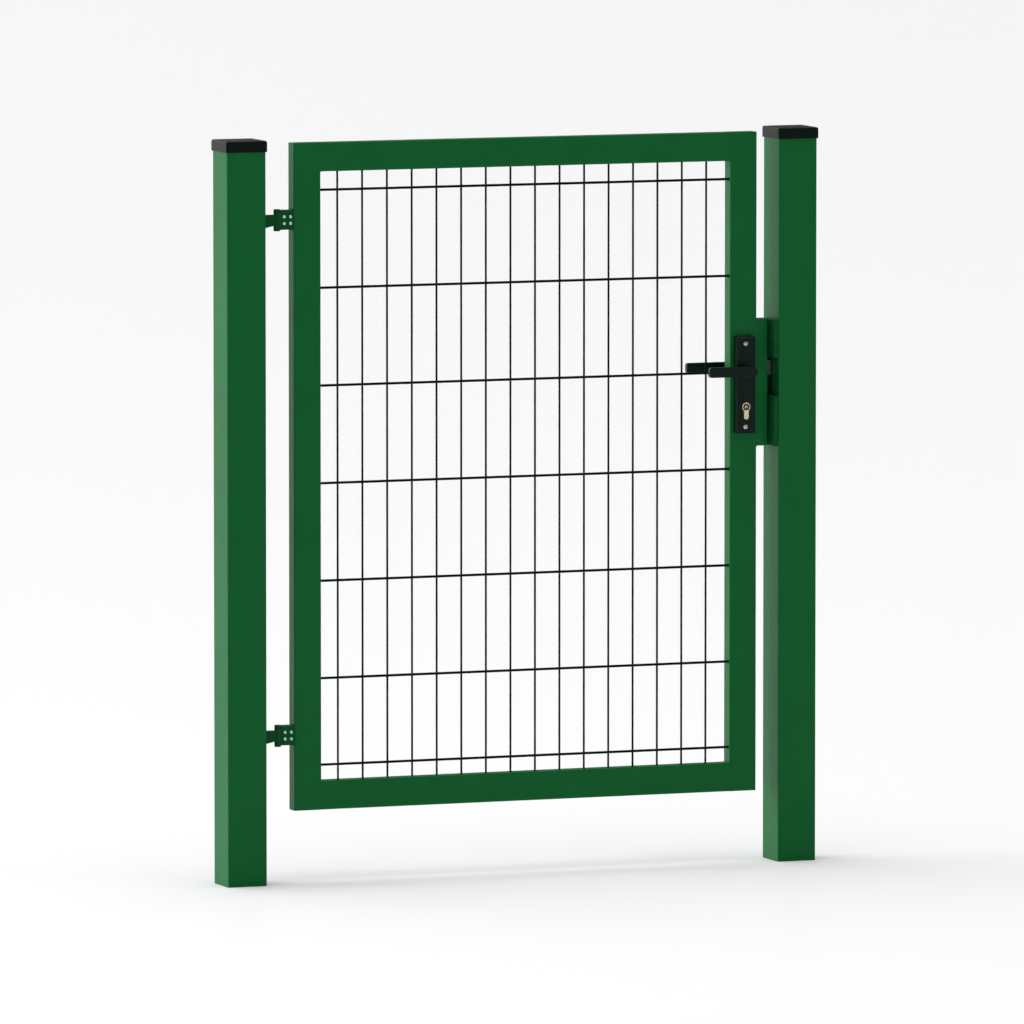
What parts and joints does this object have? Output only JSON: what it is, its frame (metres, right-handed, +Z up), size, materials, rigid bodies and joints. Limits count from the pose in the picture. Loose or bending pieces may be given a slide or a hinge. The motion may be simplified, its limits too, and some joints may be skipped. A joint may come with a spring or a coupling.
{
  "type": "livestock panel gate",
  "caption": "Framed wire-mesh gate leaf hinged between square capped posts, with lever handles, a sprung latch and a key-operated deadbolt.",
  "frame": {"origin": "on the ground, midway between the two posts and on the posts' centre plane", "axes": "+X along the fence line towards the latch post, +Y away from the front, which is the side the leaf opens to, +Z up"},
  "size_m": [1.2354, 0.132, 1.447],
  "materials": {
    "green_paint": "polyester powder coat over galvanised steel, satin",
    "hinge_paint": "dark green powder coat, satin",
    "wire_coating": "dark green coating over welded galvanised wire",
    "cap_plastic": "black moulded plastic, fine grain",
    "lever_black": "black glass-filled polyamide, satin",
    "zinc_steel": "zinc plated steel",
    "screw_mint": "pale zinc plated screw heads",
    "stainless": "brushed stainless steel",
    "spring_steel": "drawn spring steel wire",
    "nickel_brass": "satin nickel plated brass",
    "bronze": "bronze",
    "rubber": "black moulded rubber"
  },
  "bodies": {
    "posts": {"hinge_post": "green_paint", "latch_post": "green_paint", "hinge_post_cap": "cap_plastic", "latch_post_cap": "cap_plastic", "upper_hinge_arm": "hinge_paint", "lower_hinge_arm": "hinge_paint", "hinge_pins": "hinge_paint", "hinge_washers": "bronze", "keep": "hinge_paint", "keep_screws": "zinc_steel", "stop_buffers": "rubber"},
    "leaf": {"hinge_stile": "green_paint", "lock_stile": "green_paint", "top_rail": "green_paint", "bottom_rail": "green_paint", "stile_end_plates": "green_paint", "upright_wires": "wire_coating", "level_wires": "wire_coating", "hinge_blocks": "green_paint", "upper_hinge_plate": "hinge_paint", "lower_hinge_plate": "hinge_paint", "hinge_screws": "screw_mint", "lock_box": "green_paint", "faceplate": "stainless", "faceplate_screws": "zinc_steel", "lock_case": "zinc_steel", "latch_spring": "spring_steel", "lever_spring": "spring_steel", "front_plate": "lever_black", "rear_plate": "lever_black", "plate_screws": "zinc_steel", "plate_sleeves": "zinc_steel", "cylinder_body": "nickel_brass", "cylinder_screw": "zinc_steel"},
    "handles": {"spindle": "zinc_steel", "follower": "zinc_steel", "front_lever": "lever_black", "rear_lever": "lever_black", "lever_screws": "zinc_steel"},
    "latch": {"latch_bolt": "stainless"},
    "key_plug": {"cylinder_plug": "nickel_brass", "lock_cam": "zinc_steel"},
    "deadbolt": {"deadbolt": "stainless"}
  },
  "joints": [
    {"name": "leaf_swing", "type": "hinge", "parent": "posts", "child": "leaf", "pos_m": [-0.504, -0.015, 0.79], "axis": [0, 0, -1], "range_deg": [0, 110]},
    {"name": "lever_turn", "type": "hinge", "parent": "leaf", "child": "handles", "pos_m": [0.4705, 0, 0.972], "axis": [0, -1, 0], "range_deg": [0, 38], "stiffness_Nm_per_rad": 1.2, "springref_deg": -34.38},
    {"name": "latch_slide", "type": "slide", "parent": "leaf", "child": "latch", "axis": [-1, 0, 0], "range_m": [0, 0.01101], "deforming": ["latch_spring"]},
    {"name": "deadbolt_slide", "type": "slide", "parent": "leaf", "child": "deadbolt", "axis": [1, 0, 0], "range_m": [0, 0.02]},
    {"name": "key_turn", "type": "hinge", "parent": "leaf", "child": "key_plug", "pos_m": [0.4705, 0, 0.9], "axis": [0, 1, 0], "range_deg": [0, 360]}
  ],
  "couplings": [
    {"joint": "latch_slide", "follows": "lever_turn", "m_per_rad": 0.01658},
    {"joint": "key_turn", "follows": "deadbolt_slide", "rad_per_m": 314.16}
  ]
}
